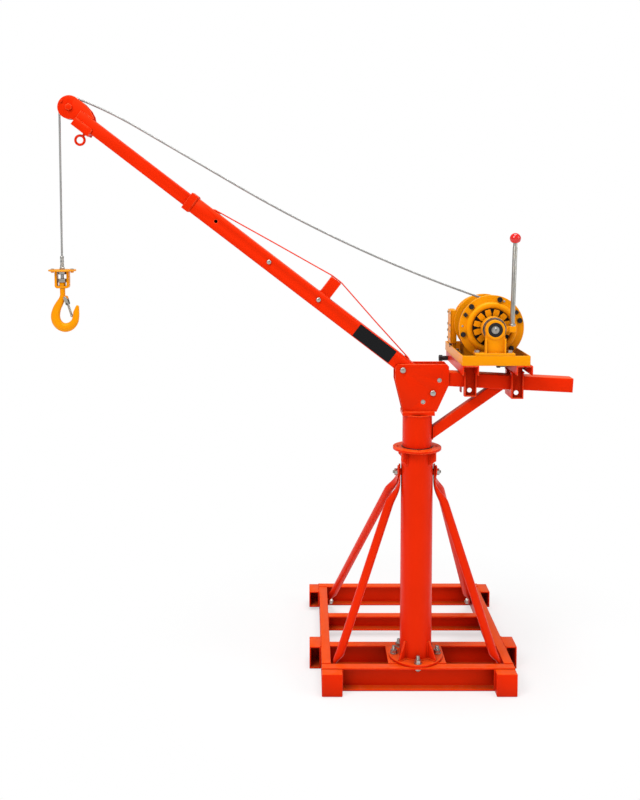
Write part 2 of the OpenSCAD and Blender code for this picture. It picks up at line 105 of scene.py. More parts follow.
# node helpers
def addInputs(tree, values):
    # name: default value; None for the vector, a material or an object
    for name, value in values.items():
        if value is None:
            kind = name if name in ("Vector", "Material") else "Object"
        elif isinstance(value, tuple):
            kind = "Color" if len(value) == 4 else "Vector"
        else:
            kind = "Int" if isinstance(value, int) else "Float"
        socket = tree.interface.new_socket(name=name, in_out="INPUT", socket_type="NodeSocket" + kind)
        if value is not None:
            socket.default_value = value


def shaderGroup(name, values):
    g = bpy.data.node_groups.new(name, "ShaderNodeTree")
    addInputs(g, values)
    for n, kind in (("Color", "Color"), ("Roughness", "Float"), ("Normal", "Vector")):
        g.interface.new_socket(name=n, in_out="OUTPUT", socket_type="NodeSocket" + kind)
    return g, g.nodes.new("NodeGroupInput").outputs


def closeGroup(g, **results):
    outlet = g.nodes.new("NodeGroupOutput")
    for name, value in results.items():
        g.links.new(value, outlet.inputs[name])
    return g


def fill(node, values):
    for name, value in values.items():
        node.inputs[name].default_value = value


def put(tree, kind, links=None, take=0, **values):
    # adds a node, fills or links its inputs and gives back the output named by take
    n = tree.nodes.new(kind)
    for k, v in values.items():
        setattr(n, k, v)
    for key, v in (links or {}).items():
        if isinstance(v, bpy.types.NodeSocket):
            tree.links.new(v, n.inputs[key])
        else:
            n.inputs[key].default_value = v
    return n.outputs[take]


def geo(tree, kind, links=None, take=0, **values):
    return put(tree, "GeometryNode" + kind, links, take, **values)


def shader(tree, kind, links=None, take=0, **values):
    return put(tree, "ShaderNode" + kind, links, take, **values)


# the next six add a node to the tree of the socket they get
def ramp(value, low, high, a=0.0, b=1.0):
    links = {"Value": value, "From Min": low, "From Max": high, "To Min": a, "To Max": b}
    return shader(value.id_data, "MapRange", links, "Result", interpolation_type="SMOOTHSTEP")


def maths(operation, a, b=0.0, clamp=False):
    return shader(a.id_data, "Math", {0: a, 1: b}, operation=operation, use_clamp=clamp)


def times(a, b):
    return maths("MULTIPLY", a, b)


def scaled(vector, amount):
    return shader(vector.id_data, "VectorMath", {0: vector, "Scale": amount}, operation="SCALE")


def blended(amount, low, high):
    return shader(amount.id_data, "Mix", {0: amount, 6: low, 7: high}, 2, data_type="RGBA")


def noise(where, scale, detail=2.0):
    return shader(where.id_data, "TexNoise", {"Vector": where, "Scale": scale, "Detail": detail}, "Fac")


# enamel paint: tone drift, rubbed edges with painted highlight, painted light on top faces, painted shade in corners
# and recesses, settled dust, orange peel
wearAndPaintedLight = {"drift": 5.0, "speck": 60.0, "peel": 420.0, "dustColour": (0.75, 0.68, 0.6, 1),  # noise scales
        "edge": 0.0034, "corner": 0.11, "peelDepth": 0.0004}  # metres
t, given = shaderGroup("enamelSurface", {
    "Vector": None, "Paint": (0.86, 0.022, 0.0015, 1), "Rub Colour": (1.0, 0.22, 0.08, 1), "Edge Rub": 0.7,
    "Dust": 0.02, "Gloss": 0.36, "Peel": 0.04, "Sun": 0.85, "Sun Colour": (0.95, 0.1, 0.006, 1)})
drift = noise(given["Vector"], wearAndPaintedLight["drift"], 3.0)
speck = noise(given["Vector"], wearAndPaintedLight["speck"], 6.0)
tone = shader(t, "HueSaturation", {"Color": given["Paint"], "Value": ramp(drift, 0.3, 0.7, 0.96, 1.03)})
normal = shader(t, "NewGeometry", take="Normal")
rounded = shader(t, "Bevel", {"Radius": wearAndPaintedLight["edge"]}, samples=6)
bent = shader(t, "VectorMath", {0: rounded, 1: normal}, "Value", operation="DOT_PRODUCT")
shelter = shader(t, "AmbientOcclusion", {"Distance": wearAndPaintedLight["corner"]}, "AO", samples=8)
# rounded edges away from nearby parts get a lighter colour, broken up by noise: partly rubbed paint, partly painted
# highlight
outside = times(ramp(bent, 0.995, 0.93), ramp(shelter, 0.7, 0.95))
rubAndHighlight = times(outside, ramp(speck, 0.36, 0.5))
rubAndHighlightMix = blended(times(rubAndHighlight, given["Edge Rub"]), tone, given["Rub Colour"])
up = shader(t, "SeparateXYZ", {0: normal}, "Z")
# painted light: faces turned upwards are lightened towards the top colour
topLightAmount = times(ramp(up, 0.55, 0.98), given["Sun"])
# painted shade: the colour is darkened where occlusion finds nearby parts, in corners, recesses and under other parts
shade = shader(t, "HueSaturation", {
    "Color": blended(topLightAmount, rubAndHighlightMix, given["Sun Colour"]), "Value": ramp(shelter, 0.05, 0.9, 0.5, 1.0)})
dustFall = times(ramp(up, 0.5, 1.0), ramp(speck, 0.35, 0.7))
dustAmount = times(dustFall, given["Dust"])
dull = maths("ADD", given["Gloss"], dustAmount)
enamel = closeGroup(
    t, Color=blended(dustAmount, shade, wearAndPaintedLight["dustColour"]),
    Roughness=maths("ADD", dull, ramp(drift, 0.3, 0.75, -0.02, 0.03), True),
    Normal=shader(t, "Bump", {
        "Strength": given["Peel"], "Distance": wearAndPaintedLight["peelDepth"], "Height": noise(given["Vector"], wearAndPaintedLight["peel"])}))

# brushed or plated metal: fine grain, faint stains
plate = {"blotch": 45.0, "grain": 900.0, "grainDepth": 0.0002}
t, given = shaderGroup("platedSurface", {
    "Vector": None, "Metal": (0.47, 0.46, 0.43, 1), "Stain": (0.4, 0.34, 0.22, 1), "Stain Amount": 0.3, "Polish": 0.33})
blotch = noise(given["Vector"], plate["blotch"], 5.0)
stainPart = times(ramp(blotch, 0.42, 0.7), given["Stain Amount"])
plating = closeGroup(
    t, Color=blended(stainPart, given["Metal"], given["Stain"]),
    Roughness=maths("ADD", given["Polish"], ramp(blotch, 0.3, 0.7, -0.06, 0.14), True),
    Normal=shader(t, "Bump", {
        "Strength": 0.15, "Distance": plate["grainDepth"], "Height": noise(given["Vector"], plate["grain"], 3.0)}))


def material(name, surface, settings, metallic=0.0, coat=0.0, specular=0.5, sheen=(1, 1, 1, 1)):
    m = bpy.data.materials.new(name)
    m.use_nodes = True
    t = m.node_tree
    p = t.nodes["Principled BSDF"]
    place = shader(t, "TexCoord", take="Object")
    g = shader(t, "Group", {}, node_tree=surface).node
    t.links.new(place, g.inputs["Vector"])
    fill(g, settings)
    for own, target in (("Color", "Base Color"), ("Roughness", "Roughness"), ("Normal", "Normal")):
        t.links.new(g.outputs[own], p.inputs[target])
    fill(p, {"Metallic": metallic, "Coat Weight": coat, "Coat Roughness": 0.12, "Specular IOR Level": specular,
             "Specular Tint": sheen})
    return m


finishes = {  # the crane's paint and the zinc use the groups' own values
    "crane_paint": material("craneEnamel", enamel, {}, specular=0.26, sheen=(1, 0.3, 0.08, 1)),
    # the winch's paint also gets the lighter edges with painted highlight and the painted light on top faces
    "winch_paint": material("winchEnamel", enamel, {
        "Paint": (1.0, 0.34, 0.0015, 1), "Rub Colour": (1.0, 0.5, 0.12, 1), "Edge Rub": 0.4, "Gloss": 0.38,
        "Peel": 0.08, "Sun": 0.5, "Sun Colour": (1.0, 0.42, 0.01, 1)},
        coat=0.02, specular=0.4, sheen=(1, 0.6, 0.1, 1)),
    "zinc": material("zincPlate", plating, {}, metallic=1.0),
    "wire_rope": material("ropeWire", plating, {
        "Metal": (0.4, 0.4, 0.39, 1), "Stain": (0.27, 0.26, 0.24, 1), "Stain Amount": 0.2, "Polish": 0.42},
        metallic=0.7),
    "black_bolts": material("blackOxide", plating, {
        "Metal": (0.02, 0.02, 0.022, 1), "Stain": (0.05, 0.04, 0.035, 1), "Polish": 0.38}, metallic=0.6),
    "knob_red": material("knobPlastic", enamel, {
        "Paint": (0.8, 0.012, 0.008, 1), "Edge Rub": 0.0, "Gloss": 0.14, "Peel": 0.02, "Sun": 0.0}, coat=0.3),
}
# black vinyl of the boom label, also used for the slew seam and for the painted shade discs in the drum cover and the
# boom hole
labelAndShadeBlack = material("labelVinyl", enamel, {
    "Paint": (0.006, 0.006, 0.007, 1), "Rub Colour": (0.05, 0.05, 0.05, 1), "Edge Rub": 0.1, "Dust": 0.01,
    "Gloss": 0.4, "Peel": 0.05, "Sun": 0.0}, specular=0.15)
darkGrey = material("collarSteel", plating, {
    "Metal": (0.3, 0.3, 0.3, 1), "Stain": (0.2, 0.17, 0.14, 1), "Stain Amount": 0.5, "Polish": 0.42}, metallic=0.9)
for name, obj in nodes.items():
    obj.data.materials.clear()
    obj.data.materials.append(finishes[slotOf[name]])
print("stage: materials ready")


# mesh helpers
def newObject(name, data):
    obj = bpy.data.objects.new(name, data)
    bpy.context.scene.collection.objects.link(obj)
    return obj


def meshFrom(name, bm):
    mesh = bpy.data.meshes.new(name)
    bm.to_mesh(mesh)
    bm.free()
    return mesh


def shadeMesh(mesh, sharp, smooth=True):
    for p in mesh.polygons:
        p.use_smooth = smooth
    if smooth and sharp:
        mesh.set_sharp_from_angle(angle=math.radians(sharp))


def keepMesh(name, mesh, body, slotName, replaced=(), smooth=True, finish=None, sharp=35):
    mesh.materials.clear()
    mesh.materials.append(finish or finishes[slotName])
    shadeMesh(mesh, sharp, smooth)
    obj = newObject(name, mesh)
    if body:
        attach(obj, body)
    if replaced:
        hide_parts(*replaced)
    return obj


def piece(name, bm, *where, **looks):
    bmesh.ops.recalc_face_normals(bm, faces=bm.faces)
    return keepMesh(name, meshFrom(name, bm), *where, **looks)


def baked(obj):
    # modifiers turned into a plain mesh, the source object dropped
    bpy.context.view_layer.update()
    graph = bpy.context.evaluated_depsgraph_get()
    mesh = bpy.data.meshes.new_from_object(obj.evaluated_get(graph))
    bpy.data.objects.remove(obj)
    return mesh


def softenNode(name, wide, share, join=3e-6, flatBelow=0.5, foldAbove=24, longFrom=0.15, segments=2):
    # rounded copy of a CAD node: long edges (metres) get the full radius, short ones a share of it
    bm = bmesh.new()
    bm.from_mesh(nodes[name].data)
    bmesh.ops.remove_doubles(bm, verts=bm.verts, dist=join)
    bmesh.ops.dissolve_limit(bm, angle_limit=math.radians(flatBelow), verts=bm.verts, edges=bm.edges)
    weight = bm.edges.layers.float.new("bevel_weight_edge")
    for e in bm.edges:
        if len(e.link_faces) == 2 and e.calc_face_angle(0) > math.radians(foldAbove):
            e[weight] = 1.0 if e.calc_length() > longFrom else share
    mesh = meshFrom(name + "Soft", bm)
    shadeMesh(mesh, None)
    obj = newObject(name + "Soft", mesh)
    bev = obj.modifiers.new("round", "BEVEL")
    bev.width, bev.segments, bev.limit_method = wide * mm, segments, "WEIGHT"
    bev.use_clamp_overlap, bev.harden_normals = False, True
    return keepMesh(name + "Soft", baked(obj), bodyOf[name], slotOf[name], [name], sharp=None)


def lathe(profile, place, turns=64, bm=None):
    # profile: (radius, height) pairs; a zero radius closes the end
    bm = bm or bmesh.new()
    rings = []
    for r, h in profile:
        count = 1 if r < 1e-6 else turns
        rings.append([bm.verts.new(place @ Vector((*polar(r, 360 * k / turns), h))) for k in range(count)])
    for a, b in zip(rings, rings[1:]):
        for k in range(turns):
            q = (k + 1) % turns
            corners = [a[k % len(a)], a[q % len(a)], b[q % len(b)], b[k % len(b)]]
            corners = [v for i, v in enumerate(corners) if v not in corners[:i]]
            if len(corners) > 2:
                bm.faces.new(corners)
    return bm


def loft(sections, bm=None, loop=False):
    # sections: lists of points in metres, all the same length; a loop joins the last to the first
    bm = bm or bmesh.new()
    rings = [[bm.verts.new(p) for p in s] for s in sections]
    for a, b in zip(rings, rings[1:] + rings[:loop]):
        for k in range(len(a)):
            q = (k + 1) % len(a)
            bm.faces.new((a[k], a[q], b[q], b[k]))
    if not loop:
        bm.faces.new(list(reversed(rings[0])))
        bm.faces.new(rings[-1])
    return bm


def slab(outline, low, high, place, bm=None):
    # flat outline in local XY made thick along local Z
    return loft([[place @ Vector((x, y, h)) for x, y in outline] for h in (low, high)], bm)


def roundBox(x0, x1, y0, y1, r):
    corners = ((x1 - r, y1 - r), (x0 + r, y1 - r), (x0 + r, y0 + r), (x1 - r, y0 + r))
    return [p for i, c in enumerate(corners) for p in arcPoints(c, r, 90 * i, 90 * i + 91, 18)]


def rodRing(centre, across, upward, r):
    # 16 points round a rod, given two directions square to it
    turns = [polar(r, 360 * k / 16) for k in range(16)]
    return [centre + across * c + upward * s for c, s in turns]


# Geometry Nodes helpers
def newTree(name, values):
    t = bpy.data.node_groups.new(name, "GeometryNodeTree")
    for way in ("INPUT", "OUTPUT"):
        t.interface.new_socket(name="Geometry", in_out=way, socket_type="NodeSocketGeometry")
    addInputs(t, dict(values, Material=None))
    return t, t.nodes.new("NodeGroupInput").outputs


def closeTree(t, given, geometry):
    real = geo(t, "RealizeInstances", {"Geometry": geometry})
    coat = geo(t, "SetMaterial", {"Geometry": real, "Material": given["Material"]})
    t.links.new(coat, t.nodes.new("NodeGroupOutput").inputs[0])
    return t


def runTree(tree, mesh, slotName, values):
    obj = newObject(mesh.name, mesh)
    mod = obj.modifiers.new("tree", "NODES")
    mod.node_group = tree
    ids = {s.name: s.identifier for s in tree.interface.items_tree if s.item_type == "SOCKET" and s.in_out == "INPUT"}
    for k, v in dict(values, Material=finishes[slotName]).items():
        mod[ids[k]] = v
    return baked(obj)


def pathMesh(name, paths):
    # paths in millimetres; each is (points, closed)
    verts, edges = [], []
    for pts, closed in paths:
        base = len(verts)
        verts += [Vector(p) * mm for p in pts]
        edges += [(base + i, base + i + 1) for i in range(len(pts) - 1)]
        if closed:
            edges.append((base + len(pts) - 1, base))
    mesh = bpy.data.meshes.new(name)
    mesh.from_pydata(verts, edges, [])
    return mesh


# one fastener mesh set on points, turned by each point's own turn
t, given = newTree("fastenerSet", {"Fastener": None})
shape = geo(t, "ObjectInfo", {"Object": given["Fastener"]}, "Geometry")
turn = geo(t, "InputNamedAttribute", {"Name": "turn"}, "Attribute", data_type="FLOAT_VECTOR")
fastenerTree = closeTree(t, given, geo(t, "InstanceOnPoints", {
    "Points": given["Geometry"], "Instance": shape,
    "Rotation": put(t, "FunctionNodeEulerToRotation", {0: turn})}))


def fastenerShape(af, high, washer=0, washerHigh=0, stud=0, studHigh=0, foot=0, sides=6, dome=False):
    # chamfered nut or head standing on z=0, with a washer under it and a threaded end above
    bm = bmesh.new()
    z0, top, edge, slope, pitch = washerHigh, washerHigh + high, 0.4, 0.55, 1.7
    if washer:
        lathe([(0, 0), (washer - edge, 0), (washer, edge), (washer, washerHigh - edge), (washer - edge, washerHigh),
               (0, washerHigh)], toMetres, 40, bm)
    if dome:
        r, turns = af / 2, [0.13 * k for k in range(12)]
        crown = [(r * math.cos(a), z0 + high * (0.45 + 0.55 * math.sin(a))) for a in turns]
        lathe([(0, z0), (r, z0)] + crown + [(0, top)], toMetres, 40, bm)
    else:
        inner, rings = 0.47 * af, [[], [], []]
        for k in range(48):
            a = 2 * math.pi * k / 48
            r = af / 2 / math.cos(a % (2 * math.pi / sides) - math.pi / sides)
            levels = ((r, z0), (r, top - (r - inner) * slope), (inner, top))
            for ring, (reach, z) in zip(rings, levels):
                ring.append(toMetres @ Vector((reach * math.cos(a), reach * math.sin(a), z)))
        loft(rings, bm)
    if stud:
        root, z = stud - 0.9, top - 1
        profile = [(0, z)]
        while z < studHigh - 1.2:
            profile += [(stud, z), (root, z + pitch / 2)]
            z += pitch
        lathe(profile + [(root, studHigh - 0.4), (stud - 1.6, studHigh), (0, studHigh)], toMetres, 24, bm)
    if foot:
        shank = stud or af * 0.3
        lathe([(0, -foot), (shank, -foot), (shank, 0.1), (0, 0.1)], toMetres, 24, bm)
    bmesh.ops.recalc_face_normals(bm, faces=bm.faces)
    mesh = meshFrom("fastener", bm)
    shadeMesh(mesh, 32)
    return newObject("fastener", mesh)


def fasten(name, sets, body, slotName, replaced=()):
    # sets: (shape settings, [(seat point, outward direction), ...]); all joined into one piece
    joined = bmesh.new()
    for settings, seats in sets:
        mesh = bpy.data.meshes.new(name)
        mesh.from_pydata([Vector(p) * mm for p, d in seats], [], [])
        turnData = mesh.attributes.new("turn", "FLOAT_VECTOR", "POINT")
        for i, (p, d) in enumerate(seats):
            turnData.data[i].vector = Vector(d).to_track_quat("Z", "X").to_euler()
        source = fastenerShape(**settings)
        joined.from_mesh(runTree(fastenerTree, mesh, slotName, {"Fastener": source}))
        bpy.data.objects.remove(source)
    return keepMesh(name, meshFrom(name, joined), body, slotName, replaced, sharp=32)


# wire rope: strands wound round a path
t, given = newTree("wireRope", {
    "Strands": 6, "Lay": 0.034, "Wind Radius": 0.0021, "Strand Radius": 0.00128, "Step": 0.003})
line = geo(t, "MeshToCurve", {"Mesh": given["Geometry"]})
steps = geo(t, "ResampleCurve", {"Curve": line, "Length": given["Step"]}, mode="LENGTH")
copies = geo(t, "DuplicateElements", {"Geometry": steps, "Amount": given["Strands"]}, domain="SPLINE").node.outputs
travel = geo(t, "SplineParameter", take="Length")
laps = maths("DIVIDE", travel, given["Lay"])
share = maths("DIVIDE", copies["Duplicate Index"], given["Strands"])
spin = times(maths("ADD", laps, share), 2 * math.pi)
side = geo(t, "InputNormal")
ahead = geo(t, "InputTangent")
other = shader(t, "VectorMath", {0: ahead, 1: side}, operation="CROSS_PRODUCT")
around = shader(t, "VectorMath", {
    0: scaled(side, maths("COSINE", spin)), 1: scaled(other, maths("SINE", spin))}, operation="ADD")
moved = geo(t, "SetPosition", {"Geometry": copies["Geometry"], "Offset": scaled(around, given["Wind Radius"])})
ringCurve = geo(t, "CurvePrimitiveCircle", {"Resolution": 6, "Radius": given["Strand Radius"]})
tube = geo(t, "CurveToMesh", {"Curve": moved, "Profile Curve": ringCurve, "Fill Caps": True})
ropeTree = closeTree(t, given, geo(t, "SetShadeSmooth", {0: tube}))


def keepRope(name, points, body, replaced=(), step=3.0):
    made = runTree(ropeTree, pathMesh(name, [(points, False)]), "wire_rope", {"Step": step * mm})
    return keepMesh(name, made, body, "wire_rope", replaced, sharp=None)


# rippled weld bead along paths
t, given = newTree("weldBead", {"Bead Radius": 0.0026, "Ripple Pitch": 0.0045, "Ripple": 0.0004, "Step": 0.0015})
line = geo(t, "MeshToCurve", {"Mesh": given["Geometry"]})
steps = geo(t, "ResampleCurve", {"Curve": line, "Length": given["Step"]}, mode="LENGTH")
ringCurve = geo(t, "CurvePrimitiveCircle", {"Resolution": 8, "Radius": given["Bead Radius"]})
travel = geo(t, "SplineParameter", take="Length")
keep = geo(t, "CaptureAttribute", {"Geometry": steps}).node
keep.capture_items.new("FLOAT", "travel")
t.links.new(travel, keep.inputs["travel"])
tube = geo(t, "CurveToMesh", {"Curve": keep.outputs["Geometry"], "Profile Curve": ringCurve, "Fill Caps": True})
beat = maths("DIVIDE", keep.outputs["travel"], given["Ripple Pitch"])
swell = maths("SINE", times(beat, 2 * math.pi))
wobble = noise(geo(t, "InputPosition"), 160.0)
lift = times(maths("ADD", swell, wobble), given["Ripple"])
push = scaled(geo(t, "InputNormal"), lift)
moved = geo(t, "SetPosition", {"Geometry": tube, "Offset": push})
weldTree = closeTree(t, given, geo(t, "SetShadeSmooth", {0: moved}))


def weld(name, paths, body, bead):
    made = runTree(weldTree, pathMesh(name, paths), "crane_paint", {"Bead Radius": bead * mm})
    keepMesh(name, made, body, "crane_paint", sharp=None)


def circlePath(z, r, n):
    return [(*polar(r, 360 * k / n), z) for k in range(n)], True


def linePath(a, b, n=12):
    return [Vector(a).lerp(Vector(b), k / n) for k in range(n + 1)], False


# steelwork: every plate and tube with rounded edges
softSizes = {  # radius in millimetres and the share of it on short edges: nodes
    (2.2, 0.3): "front_channel second_channel middle_channel rear_channel", (2.0, 0.3): "side_rails",
    (0.8, 1.0): "seat_plate bottom_plate cheek_plates", (3.0, 1.0): "front_feet terminal_box",
    (0.9, 1.0): "mast_foot_flange mast_gussets mast_top_flange head_plates carrier_hangers box_cover",
    (1.6, 1.0): "side_sleeves boom_collar", (1.2, 1.0): "cap_plate tip_shoe", (3.4, 0.3): "counter_beam",
    (2.6, 0.3): "knee_strut", (1.6, 0.4): "carrier_channels", (1.7, 1.0): "winch_tray",
    (1.2, 0.8): "bearing_pedestal", (3.6, 0.3): "outer_boom", (3.0, 0.3): "inner_boom", (1.2, 0.6): "truss_post",
    (1.3, 1.0): "yoke", (1.5, 1.0): "drum", (1.6, 0.8): "clutch_arm"}
for (wide, part), names in softSizes.items():
    for name in names.split():
        softenNode(name, wide, part)


def openPipe(outer, inner, foot, low, high, top, ledge=()):
    # the outer wall is split near both ends; a ledge stands out inside
    return lathe([(inner, foot), (outer, foot), (outer, low), (outer, high), (outer, top), (inner, top), *ledge,
                  (inner, foot)], upright, 144)


mast = {"outer": 50.8, "inner": 47.5, "foot": 83.2, "low": 86, "high": 752, "top": 754.9,
        "ledge": [(47.5, 560), (43, 560), (43, 540), (47.5, 540)]}
slewTube = {"outer": 47, "inner": 43, "foot": 560.8, "low": 563, "high": 865, "top": 867.9}
piece("mastPipe", openPipe(**mast), "base", "crane_paint", ["mast_pipe"])
piece("slewPipe", openPipe(**slewTube), "upper", "crane_paint", ["slew_pipe"])
seam = lathe([(47.1, 763.1), (49.2, 763.1), (48.4, 764.6), (47.1, 765.2), (47.1, 763.1)], upright, 72)
piece("slewSeam", seam, "upper", "black_bolts", finish=labelAndShadeBlack)
print("stage: steelwork rounded")

# base: weld beads
brace = {"tubeRadius": 13.75, "flatThick": 5.0, "flatWide": 28.0, "over": 12.0, "tab": 17, "press": 90.0,
         "lowTab": 20, "lowPress": 50, "tubeFrom": 110, "tubeTo": 74, "trim": 1.5, "topZ": 680, "footX": 264,
         "front": (-34, 32), "rear": (546, 26)}  # feet as y, z
gusset = {"half": 3.4, "root": 51.4, "low": (67.5, 112.5, 225, 315), "high": (45, 135, 225, 315)}
footWelds = [circlePath(83.6, 51.6, 90)]
footWelds += [linePath((x, -54.6, 75.4), (x2, -54.6, 75.4), 8) for x, x2 in ((-92, -60), (60, 92))]
for a, z, reach, end in [(a, 84, 81, 138) for a in gusset["low"]] + [(a, 754.2, 74, 712) for a in gusset["high"]]:
    c, s = polar(1, a)
    for o in (-gusset["half"], gusset["half"]):
        inside, outside, tip = [(r * c - o * s, r * s + o * c) for r in (gusset["root"], 52, reach)]
        footWelds += [linePath((*outside, z), (*tip, z)), linePath((*inside, z), (*inside, end))]
footWelds.append(circlePath(754.4, gusset["root"], 90))
sideWelds = [((275.4, 68.4, 8), (275.4, 68.4, 68), 10), ((274.6, 296.6, 24), (274.6, 296.6, 70), 8),
             ((304, -87.6, 74.2), (242, -87.6, 74.2), 10), ((239.6, -88, 4), (239.6, -88, 70), 10),
             ((276, 566.6, 75), (304, 566.6, 75), 6), ((276, -54.6, 75.2), (304, -54.6, 75.2), 6)]
for y0, z0, z1 in ((61, 1, 74), (524, 12, 72)):  # round each sleeve
    sideWelds += [((305.4, y0 + 1, z1 + 0.4), (305.4, y0 + 75, z1 + 0.4), 16),
                  ((305.8, y0 - 0.4, z0 + 2), (305.8, y0 - 0.4, z1 - 2), 12)]
for s in (-1, 1):
    footWelds += [linePath((s * a[0], *a[1:]), (s * b[0], *b[1:]), n) for a, b, n in sideWelds]
weld("baseWelds", footWelds, "base", 2.2)

# base: studs, nuts, spacer bosses
studRing = {"radius": 70, "turns": (0, 45, 90, 135, 180, 270), "top": 83, "under": 67, "underFront": 69}
places = [polar(studRing["radius"], a) for a in studRing["turns"]]
fasten("footStuds", [
    (dict(af=19, high=10, washer=12, washerHigh=2.5, stud=6, studHigh=25),
     [((x, y, studRing["top"]), above) for x, y in places]),
    (dict(af=16, high=8, stud=6, studHigh=12),
     [((x, y, studRing["underFront" if y < -60 else "under"]), below) for x, y in places])],
    "base", "zinc", ["foot_studs"])
braceFeet = [(s, y, z) for s in (-1, 1) for y, z in (brace["front"], brace["rear"])]
fasten("braceNuts", [
    (dict(af=19, high=9, stud=5.5, studHigh=14, foot=11), [((s * 63, 0, brace["topZ"]), (s, 0, 0)) for s in (-1, 1)]),
    (dict(af=19, high=9, stud=5.5, studHigh=12), [((s * brace["footX"], y, z), (-s, 0, 0)) for s, y, z in braceFeet])],
    "base", "zinc", ["brace_bolts"])
bosses = bmesh.new()
for s in (-1, 1):
    lathe([(0, 0), (10.6, 0), (11, 0.3), (11, 1.7), (10.6, 2), (0, 2)],
          basis((s * 51, 0, brace["topZ"]), (s, 0, 0)), 40, bosses)
for s, y, z in braceFeet:
    lathe([(0, 0), (9.5, 0), (10, 0.5), (10, 5.5), (9.5, 6), (0, 6)],
          basis((s * (brace["footX"] + 5), y, z), (s, 0, 0)), 40, bosses)
piece("braceBosses", bosses, "base", "crane_paint")


# braces: round tubes pressed flat at both ends
def braceTube(bm, side, topX, footY, footZ):
    p, q = Vector((topX, 0, brace["topZ"])), Vector((brace["footX"] + brace["flatThick"] / 2, footY, footZ))
    reach, tubeDir = (q - p).length, (q - p).normalized()
    tilt = math.atan2(footY, brace["topZ"] - footZ)
    down = Vector((0, math.sin(tilt), -math.cos(tilt)))  # along the tabs, in the YZ plane
    flatX, flatY = Vector((1, 0, 0)), Vector((0, math.cos(tilt), math.sin(tilt)))
    tubeX = (flatX - tubeDir * flatX.dot(tubeDir)).normalized()
    half, tab, press, sections = brace["flatWide"] / 2, brace["tab"], brace["press"], []

    def section(centre, x, wide, flat):
        # flat: 0 for the round tube, 1 for the pressed tab
        ring = []
        for k in range(28):
            c, s = polar(1, 360 * k / 28)
            tabX = brace["flatThick"] / 2 * math.copysign(abs(c) ** 0.35, c)
            tabY = wide / 2 * math.copysign(abs(s) ** 0.75, s)
            v = centre + x * (brace["tubeRadius"] * c * (1 - flat) + tabX * flat)
            v += flatY * (brace["tubeRadius"] * s * (1 - flat) + tabY * flat)
            ring.append(Vector((side * v.x, v.y, v.z)) * mm)
        sections.append(ring)

    def opening(end, tabDir, rodDir, far, wide, f):
        # between tab and tube: f runs from 0 at the tab to 1
        e = f * f * (3 - 2 * f)
        section((end + tabDir * far).lerp(end + rodDir * far, e), flatX.lerp(tubeX, e), wide, 1 - e)

    for k in range(7):  # rounded upper eye
        c, s = polar(half, 15 * k)
        section(p - down * (brace["over"] + c), flatX, max(2.0, 2 * s), 1.0)
    for far in (0, tab):
        section(p + down * far, flatX, 2 * half, 1.0)
    for k in range(1, 13):
        opening(p, down, tubeDir, tab + press * k / 12, 2 * half - brace["trim"] * k / 12, k / 12)
    long = reach - brace["tubeFrom"] - brace["tubeTo"]
    for k in range(1, 20):
        section(p + tubeDir * (brace["tubeFrom"] + long * k / 20), tubeX, 2 * half, 0.0)
    for k in range(7, 0, -1):
        opening(q, -down, -tubeDir, brace["lowTab"] + brace["lowPress"] * k / 7, 2 * half - brace["trim"], k / 7)
    section(q - down * 18, flatX, 2 * half, 1.0)
    for k in range(6, -1, -1):  # rounded lower eye
        c, s = polar(half, 15 * k)
        section(q + down * c, flatX, max(2.0, 2 * s), 1.0)
    loft(sections, bm)


for name, topX in (("front", 55.5), ("rear", 60.5)):
    bm = bmesh.new()
    for side in (-1, 1):
        braceTube(bm, side, topX, *brace[name])
    piece(name + "_bracesTubes", bm, "base", "crane_paint", [name + "_braces"], sharp=48)
print("stage: base done")

# head: bolts and welds
head = {"face": 31.5, "holeRing": 119.5, "openHoles": (15.5, 57.5)}  # holes by turns below the boom pivot
face = head["face"]


def indexHole(deg, y=0):
    x, z = polar(head["holeRing"], deg)
    return (pivot.x + x, y, pivot.z - z)


for name, c, shank in (("pivot_bolt", pivot, 62), ("lock_bolt", indexHole(boomLift), 5.8)):
    fasten(name + "Set", [
        (dict(af=18, high=6.5, dome=True, foot=shank), [((c[0], -face, c[2]), front)]),
        (dict(af=19, high=10, stud=6.5, studHigh=12.5, foot=5.8), [((c[0], face, c[2]), back)])],
        "upper", "zinc", [name])
bm = bmesh.new()
for turn in head["openHoles"]:
    for y, outward in ((-face, front), (face, back)):
        lathe([(0, -3), (5.4, -3), (5.6, -1), (6, -0.4), (6.9, -0.6), (6.9, -5.6), (0, -5.6)],
              basis(indexHole(turn, y), outward), 32, bm)
piece("holePlugs", bm, "upper", "zinc")
headWelds = [circlePath(867.6, 47.6, 80)]
for y in (-1, 1):
    headWelds += [linePath((-48, y * 32, 880.4), (50, y * 32, 880.4), 20),
                  linePath((95.4, y * 25.9, 1001), (95.4, y * 25.9, 962), 8),
                  linePath((222, y * 16.3, 952.7), (273, y * 16.3, 950), 12)]
headWelds += [linePath((274, -15, 949.8), (274, 15, 949.8), 6), linePath((47.0, -14, 788.8), (47.0, 14, 788.8), 6)]
for x in (141, 179, 288, 326):
    headWelds += [linePath((x, y, 1007.4), (x, y2, 1007.4), 6) for y, y2 in ((-48, -26), (26, 48))]
weld("headWelds", headWelds, "upper", 2.2)

# winch: fasteners
fasten("winchBolts", [(dict(af=16, high=8), [((x, -88, 1076), above) for x in (172, 271)])],
       "upper", "zinc", ["winch_bolts"])
carrierBolt = dict(af=19, high=12, stud=8, studHigh=12.2)
fasten("carrierBolts", [
    (dict(carrierBolt, foot=17.8), [((107, 200, 1016), leftward)]),
    (dict(carrierBolt, foot=15.8), [((274, 60, 1016), leftward)])], "upper", "black_bolts", ["carrier_bolts"])
fasten("trayScrews", [
    (dict(af=13, high=7, washer=9, washerHigh=1.5),
     [((winchAt.x + dx, y, 1041), above) for dx in (-72, 72) for y in (132, 188)]),
    (dict(af=7, high=2.6), [((120, y, z), leftward) for y in (116, 166) for z in (1178, 1138, 1117, 1092)])],
    "upper", "zinc")

